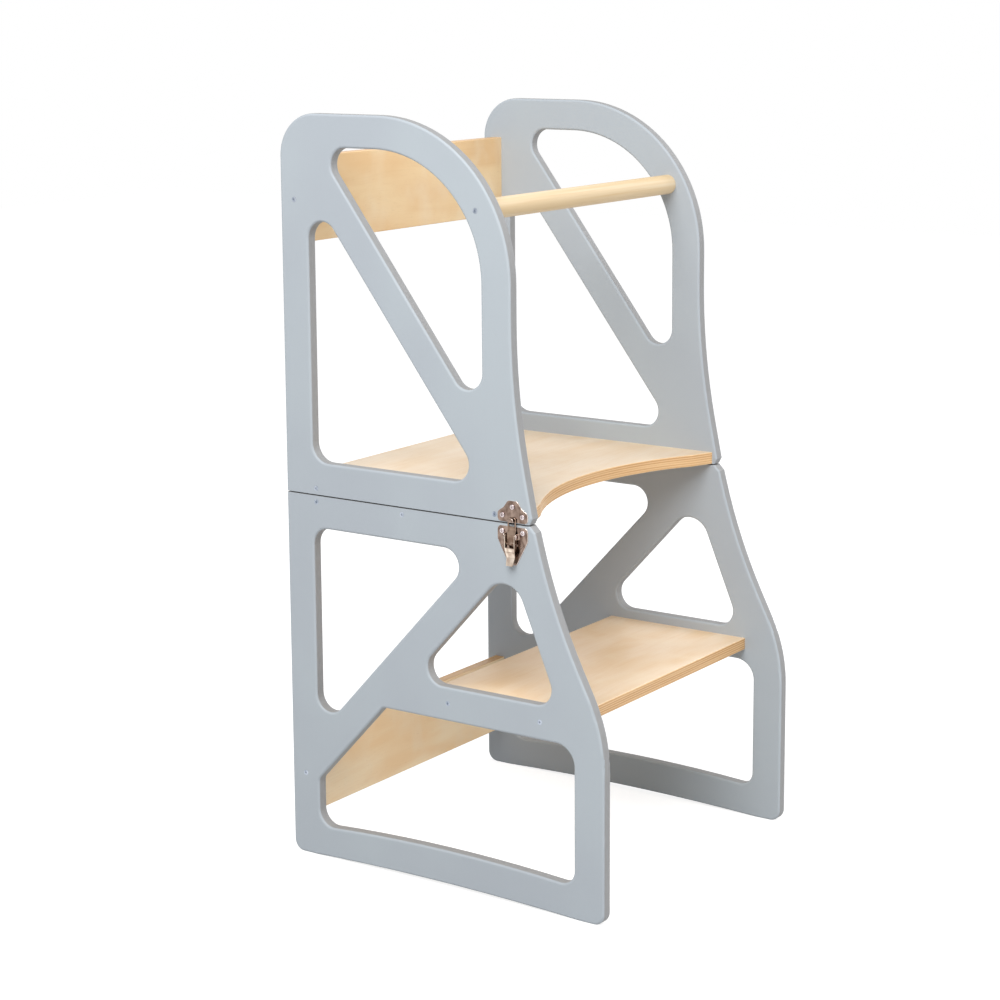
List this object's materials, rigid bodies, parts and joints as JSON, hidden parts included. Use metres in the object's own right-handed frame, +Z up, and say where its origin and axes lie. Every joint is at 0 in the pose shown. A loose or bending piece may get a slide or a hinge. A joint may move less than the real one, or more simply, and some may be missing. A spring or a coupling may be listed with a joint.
{
  "type": "toddler kitchen helper stool",
  "caption": "Child's step tower of painted side panels and birch boards. Its hinged upper section folds back into a table once the side draw latches are opened.",
  "frame": {"origin": "on the floor, under the middle of the tower's footprint with the hinge barrels included", "axes": "+X to the right of a child who faces the worktop, +Y towards the worktop, +Z up"},
  "size_m": [0.447, 0.4536, 0.9],
  "materials": {
    "painted_ply": "satin blue-grey paint",
    "birch_ply": "satin clear lacquer",
    "birch_rail": "satin clear lacquer",
    "zinc_steel": "bright zinc plate",
    "nickel": "polished nickel plate"
  },
  "bodies": {
    "lower": {"lower_side_left": "painted_ply", "lower_side_right": "painted_ply", "step_board": "birch_ply", "hinge_board": "birch_ply", "lower_rear_board": "birch_ply", "lower_left_screws": "zinc_steel", "lower_right_screws": "zinc_steel", "hinge_left_lower_leaf": "zinc_steel", "hinge_right_lower_leaf": "zinc_steel", "hinge_left_pin": "zinc_steel", "hinge_right_pin": "zinc_steel", "hinge_lower_screws": "zinc_steel", "latch_base_left": "nickel", "latch_base_right": "nickel", "latch_pivot_rivets_left": "nickel", "latch_pivot_rivets_right": "nickel", "latch_base_screws_left": "nickel", "latch_base_screws_right": "nickel"},
    "upper": {"upper_side_left": "painted_ply", "upper_side_right": "painted_ply", "platform": "birch_ply", "upper_rear_board": "birch_ply", "front_rail": "birch_rail", "upper_left_screws": "zinc_steel", "upper_right_screws": "zinc_steel", "hinge_left_upper_leaf": "zinc_steel", "hinge_right_upper_leaf": "zinc_steel", "hinge_upper_screws": "zinc_steel", "catch_plate_left": "nickel", "catch_plate_right": "nickel", "catch_screws_left": "nickel", "catch_screws_right": "nickel"},
    "left_lever": {"latch_lever_left": "nickel", "latch_lever_pin_left": "nickel"},
    "left_claw": {"latch_claw_left": "nickel"},
    "right_lever": {"latch_lever_right": "nickel", "latch_lever_pin_right": "nickel"},
    "right_claw": {"latch_claw_right": "nickel"}
  },
  "joints": [
    {"name": "fold", "type": "hinge", "parent": "lower", "child": "upper", "pos_m": [0, 0.224, 0.45], "axis": [-1, 0, 0], "range_deg": [0, 180]},
    {"name": "left_lever_swing", "type": "hinge", "parent": "lower", "child": "left_lever", "pos_m": [-0.2202, -0.106, 0.4365], "axis": [0, 1, 0], "range_deg": [0, 75]},
    {"name": "left_claw_lift", "type": "hinge", "parent": "left_lever", "child": "left_claw", "pos_m": [-0.2196, -0.106, 0.428], "axis": [0, 1, 0], "range_deg": [-58, 0]},
    {"name": "right_lever_swing", "type": "hinge", "parent": "lower", "child": "right_lever", "pos_m": [0.2202, -0.106, 0.4365], "axis": [0, -1, 0], "range_deg": [0, 75]},
    {"name": "right_claw_lift", "type": "hinge", "parent": "right_lever", "child": "right_claw", "pos_m": [0.2196, -0.106, 0.428], "axis": [0, -1, 0], "range_deg": [-58, 0]}
  ],
  "couplings": [
    {"joint": "left_claw_lift", "follows": "left_lever_swing", "ratio": -0.76},
    {"joint": "right_claw_lift", "follows": "right_lever_swing", "ratio": -0.76}
  ]
}
